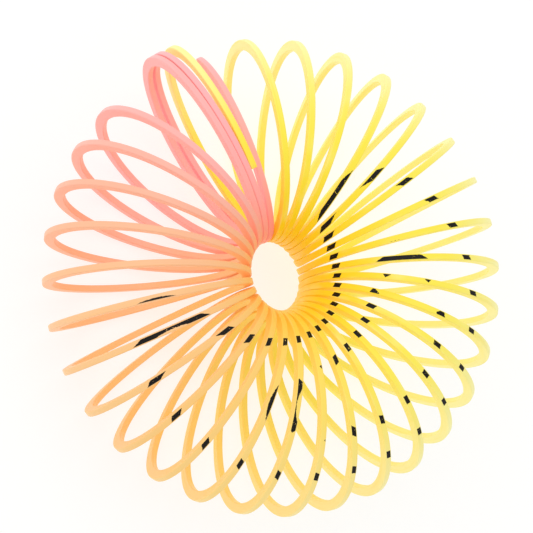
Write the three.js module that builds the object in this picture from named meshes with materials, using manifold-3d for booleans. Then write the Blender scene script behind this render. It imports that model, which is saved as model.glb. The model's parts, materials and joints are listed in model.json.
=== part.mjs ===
// A moulded plastic rainbow coil spring, bent round into a ring.
// Millimetres, +Z up. The ring lies flat, and the origin is the middle of its base.
//
// The toy is one long strip wound into a left-handed coil. It moves by twisting a little at the
// inside and at the outside of every turn, so each turn is an upper half and a lower half, which
// meet there across a small gap. Both ends of the coil are drawn together at +Y, where a hand
// holds them: those end turns are whole, a little flattened and a little longer.

import * as THREE from "three";
import { mergeVertices } from "three/addons/utils/BufferGeometryUtils.js";
import Module from "manifold-3d";

// The strip and its coil.
const STRIP_WIDTH = 1.8; // from the inside to the outside of the coil
const STRIP_THICKNESS = 1.1; // along the coil
const COIL_DIAMETER = 35.2; // over the outside of a turn
const HINGE_GAP = 0.3; // between the two halves that meet at a bend

// The ring.
const RING_MIDDLE_RADIUS = 23.6; // from the centre of the ring to the middle of a turn
const TURN_ANGLE = 11.25; // from one turn to the next: 32 turns fill the circle
const START_ANGLE = 90; // direction of turn 0, at the yellow end
const SPLIT_TURNS = 28; // turns 1 to 28 are made as two halves

// How the hand draws the turns sideways towards the held ends, in degrees at the outer tips.
const TIP_SWING = 2;
const YELLOW_END_SWING = 6.8;
const PINK_END_SWING = 1.7;
const SWING_FADE = 3; // turns over which the extra swing at an end fades out

// How far the turns lean over about their own radial line, in degrees.
const LEAN_MIDDLE = -1.4;
const LEAN_STEP = 0.7; // from turn to turn
const LEAN_YELLOW_TURNS = 15; // turns before this one lean more and more
const LEAN_PINK_TURNS = 26; // and so do the turns after this one

// The held end turns, with their tip directions counted from +X, and their leans.
const HELD_STRETCH = 2; // how much further out they reach
const HELD_FLATTENING = 0.72; // their height as a part of their length
// The yellow strip is cut off part of the way up its first half, cutAt degrees round it. The
// plane of that half would have met the inside of the ring at cutInnerAngle.
const YELLOW_END = { tip: 104.8, lean: 7.6, cutInnerAngle: 96, cutAt: 71 };
const TURN_30 = { tip: 110.4, lean: 4 };
const TURN_31 = { tip: 108.4, lean: 5 };
// The pink strip ends in one more upper half. It is lower and shorter than the cut yellow half
// beside it, which passes over it when the two ends come apart.
const PINK_END = { tip: 100.5, lean: 5.2, shortening: 3, flattening: 0.64, cutAt: 165 };

const ARC_STEPS = 17; // an odd number leaves a flat facet at the top and the bottom of a turn
const JOIN_OVERLAP = 0.5; // how far two halves run through each other where they are one piece

const COIL_RADIUS = (COIL_DIAMETER - STRIP_WIDTH) / 2;
const INNER_RADIUS = RING_MIDDLE_RADIUS - COIL_RADIUS;
const OUTER_RADIUS = RING_MIDDLE_RADIUS + COIL_RADIUS;
const UPPER = 1;
const LOWER = -1;

const wasm = await Module();
wasm.setup();

const radians = THREE.MathUtils.degToRad;

// The strip changes colour from its yellow end to its pink end.
const COLOURS = [
  [0, 0xffdf28],
  [14, 0xffd93a],
  [20, 0xffbe50],
  [25, 0xffab72],
  [29, 0xff9c8c],
  [32, 0xff8f96],
];

function turnColour(turn) {
  const above = Math.max(1, COLOURS.findIndex(([at]) => at >= turn));
  const [low, lowColour] = COLOURS[above - 1];
  const [high, highColour] = COLOURS[above];
  const share = (turn - low) / (high - low);
  return new THREE.Color(lowColour).lerp(new THREE.Color(highColour), share);
}

function plastic(turn) {
  return new THREE.MeshStandardMaterial({ color: turnColour(turn), roughness: 0.42, metalness: 0 });
}

// The coil runs clockwise round the ring, seen from above.
function ringAngle(turn) {
  return START_ANGLE - TURN_ANGLE * turn;
}

function tipAngle(turn) {
  const yellow = YELLOW_END_SWING * Math.exp((1 - turn) / SWING_FADE);
  const pink = PINK_END_SWING * Math.exp((turn - SPLIT_TURNS - 1) / SWING_FADE);
  return ringAngle(turn) + TIP_SWING + yellow + pink;
}

function leanAngle(turn) {
  const yellow = Math.max(0, LEAN_YELLOW_TURNS - turn);
  const pink = Math.max(0, turn - LEAN_PINK_TURNS);
  return LEAN_MIDDLE + LEAN_STEP * (yellow + pink);
}

function polar(radius, degrees) {
  return new THREE.Vector2(radius * Math.cos(radians(degrees)), radius * Math.sin(radians(degrees)));
}

// The upright outline of half a turn: x runs outwards along its chord, y is up.
// from and to are the degrees round the half, with 0 on the inside of the ring and 180 on the
// outside. innerEnd and outerEnd are the heights at which its two ends stop.
function halfOutline({ length, flattening, side, from, to, innerEnd, outerEnd }) {
  const points = [];
  for (const edge of [STRIP_WIDTH / 2, -STRIP_WIDTH / 2]) {
    const along = length / 2 + edge;
    const up = (length / 2) * flattening + edge;
    const row = [];
    for (let step = 0; step <= ARC_STEPS; step += 1) {
      const angle = radians(from + ((to - from) * step) / ARC_STEPS);
      row.push(new THREE.Vector2(-along * Math.cos(angle), side * up * Math.sin(angle)));
    }
    if (from === 0) {
      row[0].y = side * innerEnd;
    }
    if (to === 180) {
      row[ARC_STEPS].y = side * outerEnd;
    }
    points.push(...(edge > 0 ? row : row.reverse()));
  }
  return new THREE.Shape(points);
}

// Half a turn as a flat strip standing on its chord, with the place and turn that put it there.
function halfTurn(options) {
  const { innerAngle, tip, tipRadius = OUTER_RADIUS, lean } = options;
  const inner = polar(INNER_RADIUS, innerAngle);
  const outer = polar(tipRadius, tip);
  const chord = outer.clone().sub(inner);
  const defaults = { flattening: 1, from: 0, to: 180, innerEnd: HINGE_GAP / 2, outerEnd: HINGE_GAP / 2 };
  const outline = halfOutline({ ...defaults, ...options, length: chord.length() });
  const geometry = new THREE.ExtrudeGeometry(outline, { depth: STRIP_THICKNESS, bevelEnabled: false });
  geometry.translate(0, 0, -STRIP_THICKNESS / 2);
  geometry.rotateX(Math.PI / 2 - radians(lean));
  const middle = inner.add(outer).multiplyScalar(0.5);
  return { geometry, place: new THREE.Vector3(middle.x, middle.y, 0), heading: chord.angle() };
}

function part(name, turn, half) {
  const mesh = new THREE.Mesh(half.geometry, plastic(turn));
  mesh.name = name;
  mesh.position.copy(half.place);
  mesh.rotation.z = half.heading;
  return mesh;
}

function toManifold(half) {
  const placed = half.geometry.clone();
  placed.rotateZ(half.heading);
  placed.translate(half.place.x, half.place.y, half.place.z);
  placed.deleteAttribute("normal");
  placed.deleteAttribute("uv");
  const merged = mergeVertices(placed);
  return new wasm.Manifold(
    new wasm.Mesh({
      numProp: 3,
      vertProperties: new Float32Array(merged.attributes.position.array),
      triVerts: new Uint32Array(merged.index.array),
    }),
  );
}

// Halves that run through each other at a bend become one solid.
function joinedPart(name, turn, halves) {
  const solid = halves.map(toManifold).reduce((whole, next) => whole.add(next));
  const { vertProperties, triVerts } = solid.getMesh();
  const geometry = new THREE.BufferGeometry();
  geometry.setAttribute("position", new THREE.BufferAttribute(vertProperties, 3));
  geometry.setIndex(new THREE.BufferAttribute(triVerts, 1));
  geometry.computeVertexNormals();
  const mesh = new THREE.Mesh(geometry, plastic(turn));
  mesh.name = name;
  return mesh;
}

function upperHalf(turn, options = {}) {
  const innerAngle = ringAngle(turn - 0.5);
  return halfTurn({ side: UPPER, innerAngle, tip: tipAngle(turn), lean: leanAngle(turn), ...options });
}

function lowerHalf(turn, options = {}) {
  const innerAngle = ringAngle(turn + 0.5);
  return halfTurn({ side: LOWER, innerAngle, tip: tipAngle(turn), lean: leanAngle(turn), ...options });
}

const coil = new THREE.Group();

const held = { flattening: HELD_FLATTENING, tipRadius: OUTER_RADIUS + HELD_STRETCH, outerEnd: -JOIN_OVERLAP };
const yellow = { ...held, tip: YELLOW_END.tip, lean: YELLOW_END.lean };
coil.add(
  joinedPart("yellow_end_turn", 0, [
    upperHalf(0, { ...yellow, innerAngle: YELLOW_END.cutInnerAngle, from: YELLOW_END.cutAt }),
    lowerHalf(0, yellow),
  ]),
);

for (let turn = 1; turn <= SPLIT_TURNS; turn += 1) {
  const number = String(turn).padStart(2, "0");
  coil.add(part(`turn_${number}_upper`, turn, upperHalf(turn)));
  coil.add(part(`turn_${number}_lower`, turn, lowerHalf(turn)));
}

// The last free turn, then the held turns at the pink end.
const joined = { outerEnd: -JOIN_OVERLAP };
coil.add(joinedPart("turn_29", 29, [upperHalf(29, joined), lowerHalf(29, joined)]));

const turn30 = { ...held, ...TURN_30 };
coil.add(joinedPart("turn_30", 30, [upperHalf(30, turn30), lowerHalf(30, turn30)]));

const turn31 = { ...held, ...TURN_31 };
const pinkCut = {
  tip: PINK_END.tip,
  lean: PINK_END.lean,
  tipRadius: OUTER_RADIUS + HELD_STRETCH - PINK_END.shortening,
  flattening: PINK_END.flattening,
  innerEnd: -JOIN_OVERLAP,
  to: PINK_END.cutAt,
};
coil.add(
  joinedPart("pink_end_turn", 31, [
    upperHalf(31, turn31),
    lowerHalf(31, { ...turn31, innerEnd: -JOIN_OVERLAP }),
    upperHalf(32, pinkCut),
  ]),
);

// The origin is the middle of the base.
const bounds = new THREE.Box3().setFromObject(coil, true);
const middle = bounds.getCenter(new THREE.Vector3());
coil.position.set(-middle.x, -middle.y, -bounds.min.z);

export default coil;
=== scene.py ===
import json
import math

import bpy
from mathutils import Matrix, Vector


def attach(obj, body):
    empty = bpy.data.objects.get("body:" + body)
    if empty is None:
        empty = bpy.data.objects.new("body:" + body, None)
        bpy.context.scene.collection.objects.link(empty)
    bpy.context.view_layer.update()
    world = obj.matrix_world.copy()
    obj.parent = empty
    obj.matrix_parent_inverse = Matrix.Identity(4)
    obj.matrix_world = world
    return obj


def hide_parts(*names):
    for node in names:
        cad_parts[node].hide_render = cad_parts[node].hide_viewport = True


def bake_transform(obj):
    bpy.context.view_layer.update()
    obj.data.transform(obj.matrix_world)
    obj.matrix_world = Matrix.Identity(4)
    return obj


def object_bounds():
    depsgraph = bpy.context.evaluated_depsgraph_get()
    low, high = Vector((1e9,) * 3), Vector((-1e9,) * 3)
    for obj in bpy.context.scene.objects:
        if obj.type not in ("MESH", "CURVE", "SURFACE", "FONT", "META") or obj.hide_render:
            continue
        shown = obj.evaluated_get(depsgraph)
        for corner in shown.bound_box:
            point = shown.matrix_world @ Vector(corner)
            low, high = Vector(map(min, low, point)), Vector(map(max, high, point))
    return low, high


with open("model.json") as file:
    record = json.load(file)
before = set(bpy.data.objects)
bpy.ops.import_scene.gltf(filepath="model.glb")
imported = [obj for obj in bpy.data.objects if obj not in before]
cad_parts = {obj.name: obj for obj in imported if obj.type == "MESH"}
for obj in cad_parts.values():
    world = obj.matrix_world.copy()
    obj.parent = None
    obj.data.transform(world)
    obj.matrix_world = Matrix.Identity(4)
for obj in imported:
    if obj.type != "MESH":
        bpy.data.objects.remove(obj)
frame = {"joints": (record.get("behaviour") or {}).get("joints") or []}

# The looks of a plastic rainbow coil spring that is bent round into a ring. Metres, +Z up.
# One strip runs through the whole toy. Each piece of it here spans one bend, from the top of a
# turn to its bottom or back.

CAD_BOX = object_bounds()
MM = 0.001

# The strip and its coil.
STRIP_WIDTH = 1.8 * MM  # from the inside to the outside of the coil
STRIP_THICKNESS = 1.1 * MM  # along the coil
EDGE_RADIUS = 0.2 * MM
EDGE_STEPS = 4
FACES_OUT = 0.999  # the least outward part of a normal on the strip's outer face
COIL_DIAMETER = 35.2 * MM
COIL_RADIUS = (COIL_DIAMETER - STRIP_WIDTH) / 2

# The ring.
RING_MIDDLE_RADIUS = 23.6 * MM
OUTER_RADIUS = RING_MIDDLE_RADIUS + COIL_RADIUS
INNER_RADIUS = RING_MIDDLE_RADIUS - COIL_RADIUS
TURN_ANGLE = 11.25
START_ANGLE = 90
SPLIT_TURNS = 28
TURNS = 32

# How the hand draws the turns towards the held ends, and how far they lean, in degrees.
TIP_SWING = 2
PINK_END_SWING = 1.7
SWING_FADE = 3
LEAN_MIDDLE = -1.4
LEAN_STEP = 0.7
LEAN_YELLOW_TURNS = 15
LEAN_PINK_TURNS = 26

# The held end turns.
HELD_STRETCH = 2 * MM
HELD_FLATTENING = 0.72
YELLOW_TIP = 104.8
YELLOW_LEAN = 7.6
YELLOW_CUT_INNER_ANGLE = 96  # where the plane of its cut half meets the inside of the ring
YELLOW_CUT = 71 / 180  # where its strip starts, as a part of that half turn
HELD_TURNS = {30: (110.4, 4), 31: (108.4, 5)}  # tip direction and lean
PINK_TIP = 100.5
PINK_LEAN = 5.2
PINK_SHORTENING = 3 * MM
PINK_FLATTENING = 0.64
PINK_CUT = 165 / 180

TWIST_HEIGHT = 14 * MM  # how far above and below a bend the strip twists
TWIST_SHARE = 0.92  # and on a flattened turn, as a part of its height
STEPS_PER_HALF = 64
HALF_WAY = 0.5  # from a bend to the top or the bottom of a turn, in half turns
TANGENT_STEP = 0.002  # places on the strip, in half turns, over which its direction is taken
LENGTH_STEP = 0.01
END_ROUNDING = 0.18 * MM  # of the edges of its two cut ends
END_RINGS = 4

# The print: a ring round a broken ring, on the outside of the closed coil.
PRINT_TURN = 13.7
PRINT_PITCH = 1.4 * MM
PRINT_RADIUS = 13.75 * MM
PRINT_OFFSET = -3.3 * MM  # its middle, from the top of that turn
PRINT_DRIFT = 0.88 * MM  # and how far it moves round the strip from turn to turn
PRINT_STROKE = 1.45 * MM
PRINT_WOBBLE = 0.34 * MM
WORN_AWAY = 0.68  # the wear above which the ink is gone
MOTIF_RADIUS = 7.0 * MM
MOTIF_GAPS = 4
MOTIF_GAP_SHARE = 0.2

joints = {joint["name"]: joint for joint in frame["joints"]}


def hinge(name):
    return Vector(joints[name]["pos_m"])


# Inner bends 8 and 24 are opposite each other.
CENTRE = (hinge("inner_bend_08") + hinge("inner_bend_24")) / 2


def ring_angle(turn):
    return START_ANGLE - TURN_ANGLE * turn


def place(radius, degrees):
    angle = math.radians(degrees)
    return CENTRE + Vector((radius * math.cos(angle), radius * math.sin(angle), 0))


def inner_bend(turn):
    """The middle of the strip at the inner bend before this turn."""
    name = f"inner_bend_{turn:02d}"
    return hinge(name) if name in joints else place(INNER_RADIUS, ring_angle(turn - 0.5))


def outer_bend(turn):
    """The middle of the strip at a free turn's outer bend."""
    name = f"outer_bend_{turn:02d}"
    if name in joints:
        return hinge(name)
    swing = TIP_SWING + PINK_END_SWING * math.exp((turn - SPLIT_TURNS - 1) / SWING_FADE)
    return place(OUTER_RADIUS, ring_angle(turn) + swing)


def lean_of(turn):
    yellow = max(0, LEAN_YELLOW_TURNS - turn)
    pink = max(0, turn - LEAN_PINK_TURNS)
    return LEAN_MIDDLE + LEAN_STEP * (yellow + pink)


class Half:
    """Half a turn: a flat half ellipse on the chord from its inner to its outer bend."""

    def __init__(self, inner, outer, lean, side, flattening=1.0):
        chord = outer - inner
        self.side = side
        self.middle = (inner + outer) / 2
        self.reach = chord.length / 2
        self.height = self.reach * flattening
        self.out = chord.normalized()
        lean = math.radians(lean)
        across = Vector((-self.out.y, self.out.x, 0))
        self.up = across * math.sin(lean) + Vector((0, 0, math.cos(lean)))
        self.along_coil = self.out.cross(self.up)

    def point(self, share):
        """The middle of the strip, from the half's inner bend at 0 to its outer bend at 1."""
        angle = math.pi * share
        outwards = -self.reach * math.cos(angle)
        upwards = self.side * self.height * math.sin(angle)
        return self.middle + self.out * outwards + self.up * upwards


def turn_halves(turn):
    """The upper and the lower half of a turn, in the order in which the strip runs."""
    inner, next_inner = inner_bend(turn), inner_bend(turn + 1)
    if turn == 0:
        outer = place(OUTER_RADIUS + HELD_STRETCH, YELLOW_TIP)
        cut_inner = place(INNER_RADIUS, YELLOW_CUT_INNER_ANGLE)
        return [
            Half(cut_inner, outer, YELLOW_LEAN, 1, HELD_FLATTENING),
            Half(next_inner, outer, YELLOW_LEAN, -1, HELD_FLATTENING),
        ]
    if turn in HELD_TURNS:
        tip, lean = HELD_TURNS[turn]
        outer = place(OUTER_RADIUS + HELD_STRETCH, tip)
        return [
            Half(inner, outer, lean, 1, HELD_FLATTENING),
            Half(next_inner, outer, lean, -1, HELD_FLATTENING),
        ]
    if turn == TURNS:
        outer = place(OUTER_RADIUS + HELD_STRETCH - PINK_SHORTENING, PINK_TIP)
        return [Half(inner, outer, PINK_LEAN, 1, PINK_FLATTENING)]
    outer, lean = outer_bend(turn), lean_of(turn)
    return [Half(inner, outer, lean, 1), Half(next_inner, outer, lean, -1)]


HALVES = [half for turn in range(TURNS + 1) for half in turn_halves(turn)]


def smooth(value):
    value = min(1.0, max(0.0, value))
    return value * value * (3 - 2 * value)


def strip_point(place_on_strip):
    """The middle of the strip. Places count half turns: 2k is the inner bend before turn k."""
    index = min(int(place_on_strip), len(HALVES) - 1)
    share = place_on_strip - index
    return HALVES[index].point(share if index % 2 == 0 else 1 - share)


def halves_at(bend):
    """The halves before and after a bend. Bends are numbered as places on the strip are."""
    return HALVES[max(bend - 1, 0)], HALVES[min(bend, len(HALVES) - 1)]


def twist_height(bend):
    """How far above and below this bend the strip twists."""
    return min(TWIST_HEIGHT, TWIST_SHARE * min(half.height for half in halves_at(bend)))


def strip_axis(place_on_strip):
    """The direction of the strip's thickness, which turns smoothly from half to half."""
    bend = round(place_on_strip)
    before, after = halves_at(bend)
    height = abs(strip_point(place_on_strip).z - strip_point(bend).z)
    rise = height if place_on_strip >= bend else -height
    weight = smooth(0.5 + 0.5 * rise / twist_height(bend))
    return before.along_coil.lerp(after.along_coil, weight).normalized()


def section():
    """The strip's rounded outline as (across, outwards, outward normal, edge, on the outside)."""
    half_across = STRIP_THICKNESS / 2 - EDGE_RADIUS
    half_out = STRIP_WIDTH / 2 - EDGE_RADIUS
    points = []
    for corner, (x, y) in enumerate([(1, 1), (-1, 1), (-1, -1), (1, -1)]):
        for step in range(EDGE_STEPS + 1):
            angle = math.pi / 2 * (corner + step / EDGE_STEPS)
            normal = (math.cos(angle), math.sin(angle))
            edge = math.sin(math.pi * step / EDGE_STEPS)
            on_outside = 1.0 if normal[1] > FACES_OUT else 0.0
            across = x * half_across + EDGE_RADIUS * normal[0]
            outwards = y * half_out + EDGE_RADIUS * normal[1]
            points.append((across, outwards, normal, edge, on_outside))
    return points


SECTION = section()


def end_rings(cut, inwards):
    """Places, insets and slopes of the rings that round off a cut end, from its face inwards."""
    length = (strip_point(cut + inwards * LENGTH_STEP) - strip_point(cut)).length / LENGTH_STEP
    rings = []
    for ring in range(END_RINGS):
        angle = math.pi / 2 * ring / END_RINGS
        depth = END_ROUNDING * (1 - math.cos(angle))
        inset = END_ROUNDING * (1 - math.sin(angle))
        rings.append((cut + inwards * depth / length, inset, -inwards * math.cos(angle)))
    return rings


def strip_piece(name, start, end, top, cut_start=False, cut_end=False):
    """The strip from one place to another. top is the place that its print is measured from."""
    count = round((end - start) * STEPS_PER_HALF)
    stations = [(start + (end - start) * step / count, 0, 0) for step in range(count + 1)]
    if cut_start:
        stations = end_rings(start, 1) + stations[1:]
    if cut_end:
        stations = stations[:-1] + end_rings(end, -1)[::-1]
    verts, normals, turns, reaches = [], [], [], []
    edges, faces_out, prints, grains = [], [], [], []
    for position, inset, slope in stations:
        middle = strip_point(position)
        ahead = strip_point(position + TANGENT_STEP)
        behind = strip_point(max(position - TANGENT_STEP, 0))
        tangent = (ahead - behind).normalized()
        across = strip_axis(position)
        across = (across - tangent * across.dot(tangent)).normalized()
        outwards = across.cross(tangent)
        reach = (middle - CENTRE).xy.length
        for u, v, normal, edge, on_outside in SECTION:
            sideways = across * normal[0] + outwards * normal[1]
            verts.append(middle + across * u + outwards * v - sideways * inset)
            normals.append((sideways * math.sqrt(1 - slope * slope) + tangent * slope).normalized())
            turns.append(position / 2)
            reaches.append((reach - INNER_RADIUS) / (OUTER_RADIUS - INNER_RADIUS))
            edges.append(edge)
            faces_out.append(on_outside)
            turns_away = (position - HALF_WAY) / 2 - PRINT_TURN
            round_coil = (position - top) * math.pi * COIL_DIAMETER / 2 - PRINT_OFFSET
            prints.append((round_coil - PRINT_DRIFT * turns_away, PRINT_PITCH * turns_away + u, 0))
            grains.append((position * math.pi * COIL_RADIUS, u, v))
    around = len(SECTION)
    last = len(stations) - 1
    faces = []
    for row in range(last):
        for column in range(around):
            here, there = row * around + column, row * around + (column + 1) % around
            faces.append((there, here, here + around, there + around))
    faces.append(tuple(range(around)))
    faces.append(tuple(reversed(range(last * around, (last + 1) * around))))
    mesh = bpy.data.meshes.new(name)
    mesh.from_pydata(verts, [], faces)
    for key, kind, values in [
        ("turn", "FLOAT", turns),
        ("reach", "FLOAT", reaches),
        ("edge", "FLOAT", edges),
        ("outside", "FLOAT", faces_out),
    ]:
        attribute = mesh.attributes.new(key, kind, "POINT")
        attribute.data.foreach_set("value", values)
    for key, values in [("print_place", prints), ("grain_place", grains)]:
        attribute = mesh.attributes.new(key, "FLOAT_VECTOR", "POINT")
        attribute.data.foreach_set("vector", [number for value in values for number in value])
    mesh.shade_smooth()
    loops = []
    for polygon in mesh.polygons:
        flat = len(polygon.vertices) > 4  # the cut or hidden face at either end
        loops.extend(polygon.normal if flat else normals[vertex] for vertex in polygon.vertices)
    mesh.normals_split_custom_set(loops)
    piece = bpy.data.objects.new(name, mesh)
    bpy.context.scene.collection.objects.link(piece)
    piece.data.materials.append(PLASTIC)
    return piece


def colour(code):
    """Linear colour of a #rrggbb code."""
    channels = [int(code[at:at + 2], 16) / 255 for at in (1, 3, 5)]
    return [c / 12.92 if c <= 0.04045 else ((c + 0.055) / 1.055) ** 2.4 for c in channels] + [1]


class Nodes:
    """Short calls that add and link a material's nodes."""

    def __init__(self, material):
        material.use_nodes = True
        self.tree = material.node_tree
        self.tree.nodes.clear()

    def add(self, kind, inputs=(), **settings):
        node = self.tree.nodes.new(kind)
        for key, value in settings.items():
            setattr(node, key, value)
        for key, value in dict(inputs).items():
            self.set(node.inputs[key], value)
        return node

    def set(self, socket, value):
        if isinstance(value, bpy.types.NodeSocket):
            self.tree.links.new(value, socket)
        else:
            socket.default_value = value

    def math(self, operation, *values):
        return self.add("ShaderNodeMath", enumerate(values), operation=operation).outputs[0]

    def attribute(self, name, output="Fac"):
        return self.add("ShaderNodeAttribute", attribute_name=name).outputs[output]

    def between(self, value, low, high):
        """0 below low, 1 above high, and a smooth step between them."""
        inputs = {"Value": value, "From Min": low, "From Max": high}
        return self.add("ShaderNodeMapRange", inputs, interpolation_type="SMOOTHSTEP").outputs[0]

    def ramp(self, value, stops):
        node = self.add("ShaderNodeValToRGB", {"Fac": value})
        elements = node.color_ramp.elements
        while len(elements) < len(stops):
            elements.new(0.5)
        for element, (position, _) in zip(elements, stops):
            element.position = position
        for element, (_, code) in zip(elements, stops):
            element.color = colour(code)
        return node.outputs[0]

    def mix(self, factor, low, high, blend="MIX"):
        node = self.add("ShaderNodeMix", data_type="RGBA", blend_type=blend)
        for index, value in ((0, factor), (6, low), (7, high)):
            self.set(node.inputs[index], value)
        return node.outputs[2]

    def noise(self, place, scale, detail=2.0, roughness=0.5):
        inputs = {"Vector": place, "Scale": scale, "Detail": detail, "Roughness": roughness}
        return self.add("ShaderNodeTexNoise", inputs).outputs[0]

    def scaled(self, vector, factors):
        inputs = {0: vector, 1: factors}
        return self.add("ShaderNodeVectorMath", inputs, operation="MULTIPLY").outputs[0]


# The colours of the strip from its yellow end, at 0, to its pink end, at 1: near the inside of the
# ring, half way out and at the tips. The change from end to end is the dye; the deeper colours near
# the inside are painted shade and the paler ones at the tips are painted light.
DEEP_SHADED_COLOURS = [(0, "#fcdc1a"), (0.44, "#fcda24"), (0.56, "#fbd54a"), (0.66, "#fbca60"),
                (0.76, "#fcc070"), (0.85, "#fbb884"), (0.92, "#fdae9c"), (1, "#fda8a4")]
BODY_COLOURS = [(0, "#fbe84a"), (0.44, "#fbe956"), (0.56, "#fbda66"), (0.66, "#f9c676"),
                (0.76, "#fac28a"), (0.85, "#fab69a"), (0.92, "#fdb0aa"), (1, "#fdb0b2")]
PALE_LIT_COLOURS = [(0, "#fcf49c"), (0.44, "#fcf5a6"), (0.56, "#fce08a"), (0.66, "#faca7e"),
                (0.76, "#fac690"), (0.85, "#fab898"), (0.92, "#fdb4ac"), (1, "#fdb4b6")]
INK = "#080301"
PAINTED_GLOW = 0.12  # painted glow, a stand-in for light passing through the thin fluorescent plastic
IOR = 1.49
GLOSS = 0.28

# Sizes of its noises, per metre: along the strip, across it and through it.
FLOW_MARKS = (60, 1400, 1400)
CLOUDS = (160, 500, 500)
FINE_GRAIN = (900, 2600, 2600)
INK_WEAR = (2400, 3600, 3600)


def plastic_material():
    material = bpy.data.materials.new("rainbow_plastic")
    n = Nodes(material)
    turn = n.math("DIVIDE", n.attribute("turn"), TURNS)
    reach = n.attribute("reach")
    grain = n.attribute("grain_place", "Vector")

    body = n.ramp(turn, BODY_COLOURS)
    deep_shaded = n.ramp(turn, DEEP_SHADED_COLOURS)
    pale_lit = n.ramp(turn, PALE_LIT_COLOURS)
    # Painted shade deepens the colour towards the inside of the ring, and painted light pales it
    # towards the tips.
    base = n.mix(n.between(reach, 0.0, 0.5), deep_shaded, body)
    base = n.mix(n.between(reach, 0.45, 1.0), base, pale_lit)

    # Flow marks run along the strip, and its edges pass more light than its faces.
    flow = n.noise(n.scaled(grain, FLOW_MARKS), 1.0, 3.0, 0.6)
    base = n.mix(n.math("MULTIPLY", n.between(flow, 0.5, 0.75), 0.3), base, deep_shaded)
    cloud = n.noise(n.scaled(grain, CLOUDS), 1.0, 2.0, 0.5)
    base = n.mix(n.math("MULTIPLY", n.between(cloud, 0.52, 0.8), 0.35), base, pale_lit)
    edge = n.math("MULTIPLY", n.attribute("edge"), n.between(cloud, 0.3, 0.7))
    base = n.mix(n.math("MULTIPLY", edge, 0.3), base, pale_lit)

    ink = printed(n, grain)
    base = n.mix(ink, base, colour(INK))

    fine = n.noise(n.scaled(grain, FINE_GRAIN), 1.0, 3.0, 0.6)
    roughness = n.math("MULTIPLY_ADD", fine, 0.16, 0.32)
    roughness = n.math("MULTIPLY_ADD", ink, 0.12, roughness)
    height = n.math("MULTIPLY_ADD", flow, 0.6, n.math("MULTIPLY", fine, 0.4))
    height = n.math("MULTIPLY_ADD", ink, 0.5, height)
    bump = n.add("ShaderNodeBump", {"Height": height, "Strength": 0.22, "Distance": 0.00012})

    shader = n.add("ShaderNodeBsdfPrincipled", {
        "Base Color": base,
        "Roughness": roughness,
        "Normal": bump.outputs[0],
        "IOR": IOR,
        "Specular IOR Level": GLOSS,
        # Painted glow: the plastic's own colour lit from within.
        "Emission Color": base,
        "Emission Strength": PAINTED_GLOW,
    })
    n.add("ShaderNodeOutputMaterial", {"Surface": shader.outputs[0]})
    return material


def printed(n, grain):
    """1 on the black print, which is slightly worn, and 0 elsewhere."""
    axes = n.add("ShaderNodeSeparateXYZ", {0: n.attribute("print_place", "Vector")}).outputs
    wear = n.noise(n.scaled(grain, INK_WEAR), 1.0, 3.0, 0.65)
    wobble = n.math("MULTIPLY_ADD", wear, PRINT_WOBBLE, -PRINT_WOBBLE / 2)
    squares = [n.math("MULTIPLY", axis, axis) for axis in (axes[0], axes[1])]
    radius = n.math("ADD", n.math("SQRT", n.math("ADD", *squares)), wobble)

    def ring(middle):
        distance = n.math("ABSOLUTE", n.math("SUBTRACT", radius, middle))
        return n.math("LESS_THAN", distance, PRINT_STROKE / 2)

    # The inner ring has a gap at each diagonal.
    heading = n.math("DIVIDE", n.math("ARCTAN2", axes[1], axes[0]), 2 * math.pi / MOTIF_GAPS)
    in_gap = n.math("PINGPONG", n.math("ADD", heading, MOTIF_GAPS + 0.5), 0.5)
    drawn = n.math("GREATER_THAN", in_gap, MOTIF_GAP_SHARE / 2)
    arcs = n.math("MULTIPLY", ring(MOTIF_RADIUS), drawn)
    both = n.math("MAXIMUM", ring(PRINT_RADIUS), arcs)
    whole = n.math("GREATER_THAN", n.attribute("outside"), 0.5)
    return n.math("MULTIPLY", n.math("MULTIPLY", both, whole), n.math("LESS_THAN", wear, WORN_AWAY))


PLASTIC = plastic_material()


def upper_body(turn):
    return f"turn_{turn:02d}_upper" if turn <= SPLIT_TURNS else whole_body(turn)


def lower_body(turn):
    return f"turn_{turn:02d}_lower" if 0 < turn <= SPLIT_TURNS else whole_body(turn)


def whole_body(turn):
    names = {0: "yellow_end_turn", 29: "turn_29", 30: "turn_30"}
    return names.get(turn, "pink_end_turn")


def bend_between(piece, bend):
    """Bakes the piece's placement into its mesh; the piece is attached to no body."""
    middle = strip_point(bend)
    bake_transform(piece)


# Inner bend pieces run from the bottom of a turn to the top of the next one.
for turn in range(1, TURNS):
    top = 2 * turn + HALF_WAY
    piece = strip_piece(f"inner_bend_{turn:02d}", top - 1, top, top)
    bend_between(piece, 2 * turn)

# Outer bend pieces run from the top of a turn to its bottom. Whole turns don't bend there.
for turn in range(1, TURNS - 1):
    top = 2 * turn + HALF_WAY
    piece = strip_piece(f"outer_bend_{turn:02d}", top, top + 1, top)
    if turn <= SPLIT_TURNS:
        bend_between(piece, 2 * turn + 1)
        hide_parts(upper_body(turn), lower_body(turn))
    else:
        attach(piece, whole_body(turn))
        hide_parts(whole_body(turn))

yellow_end = strip_piece("yellow_end", YELLOW_CUT, 1 + HALF_WAY, HALF_WAY, cut_start=True)
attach(yellow_end, "yellow_end_turn")
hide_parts("yellow_end_turn")

last_top = 2 * (TURNS - 1) + HALF_WAY
pink_end = strip_piece("pink_end", last_top, 2 * TURNS + PINK_CUT, last_top, cut_end=True)
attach(pink_end, "pink_end_turn")
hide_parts("pink_end_turn")


# The floor and the light.
FLOOR_SIZE = 4.0
FLOOR_GREY = 0.36
FLOOR_GLOW = 0.69  # keeps the floor nearly white in the soft light
WORLD_STRENGTH = 0.7
KEY_LIGHT = {"azimuth": 120, "elevation": 60, "distance": 0.6, "size": 0.5, "power": 1.0}
WHITE = (1, 1, 1, 1)


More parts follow.
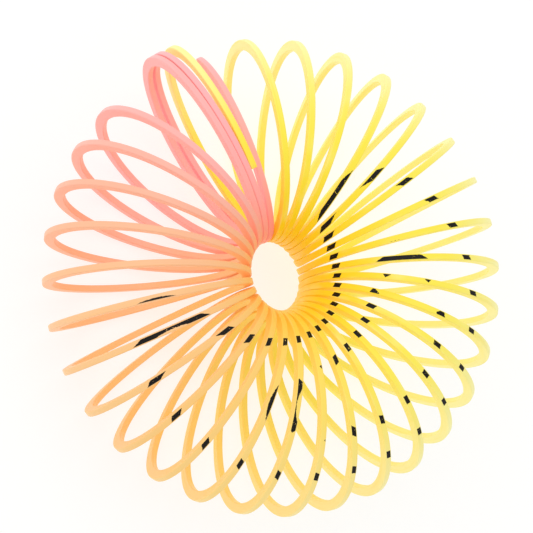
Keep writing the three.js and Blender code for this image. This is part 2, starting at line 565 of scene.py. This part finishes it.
def floor_material():
    material = bpy.data.materials.new("pale_floor")
    n = Nodes(material)
    shader = n.add("ShaderNodeBsdfPrincipled", {
        "Base Color": (FLOOR_GREY, FLOOR_GREY, FLOOR_GREY, 1),
        "Roughness": 0.9,
        "Specular IOR Level": 0.1,
        "Emission Color": WHITE,
        "Emission Strength": FLOOR_GLOW,
    })
    n.add("ShaderNodeOutputMaterial", {"Surface": shader.outputs[0]})
    return material


def add_floor():
    mesh = bpy.data.meshes.new("floor")
    half = FLOOR_SIZE / 2
    corners = [(-half, -half, 0), (half, -half, 0), (half, half, 0), (-half, half, 0)]
    mesh.from_pydata(corners, [], [(0, 1, 2, 3)])
    floor = bpy.data.objects.new("floor", mesh)
    floor.location.z = CAD_BOX[0].z
    floor.data.materials.append(floor_material())
    bpy.context.scene.collection.objects.link(floor)


def add_light(name, azimuth, elevation, distance, size, power):
    """A soft square light that faces the middle of the ring."""
    light = bpy.data.lights.new(name, "AREA")
    light.energy = power
    light.size = size
    lamp = bpy.data.objects.new(name, light)
    direction = direction_to(azimuth, elevation)
    lamp.location = CENTRE + direction * distance
    lamp.rotation_euler = direction.to_track_quat("Z", "Y").to_euler()
    bpy.context.scene.collection.objects.link(lamp)


def direction_to(azimuth, elevation):
    a, e = math.radians(azimuth), math.radians(elevation)
    return Vector((math.cos(a) * math.cos(e), math.sin(a) * math.cos(e), math.sin(e)))


def add_world():
    world = bpy.data.worlds.new("studio")
    world.use_nodes = True
    background = world.node_tree.nodes["Background"]
    background.inputs["Color"].default_value = WHITE
    background.inputs["Strength"].default_value = WORLD_STRENGTH
    bpy.context.scene.world = world


# The camera looks down on the ring from the side opposite +X.
CAMERA_AZIMUTH = -172.74
CAMERA_ELEVATION = 65.29
CAMERA_ROLL = 72.16
CAMERA_DISTANCE = 445.9 * MM
CAMERA_AIM = Vector((-1.1, 1.93, -0.39)) * MM  # from the middle of the ring
CAMERA_LENS = 175.4
CAMERA_SENSOR = 36
CAMERA_NEAREST = 0.01
CAMERA_FARTHEST = 10


def add_camera():
    data = bpy.data.cameras.new("camera")
    data.lens = CAMERA_LENS
    data.sensor_width = CAMERA_SENSOR
    data.clip_start = CAMERA_NEAREST
    data.clip_end = CAMERA_FARTHEST
    camera = bpy.data.objects.new("camera", data)
    back = direction_to(CAMERA_AZIMUTH, CAMERA_ELEVATION)
    level = Vector((0, 0, 1)).cross(back).normalized()
    right = Matrix.Rotation(math.radians(CAMERA_ROLL), 3, back) @ level
    up = back.cross(right)
    turned = Matrix((right, up, back)).transposed()
    eye = CENTRE + CAMERA_AIM + back * CAMERA_DISTANCE
    camera.matrix_world = Matrix.Translation(eye) @ turned.to_4x4()
    bpy.context.scene.collection.objects.link(camera)
    bpy.context.scene.camera = camera


add_floor()
add_world()
add_light("key", **KEY_LIGHT)
add_camera()
bpy.context.scene.view_settings.view_transform = "Standard"
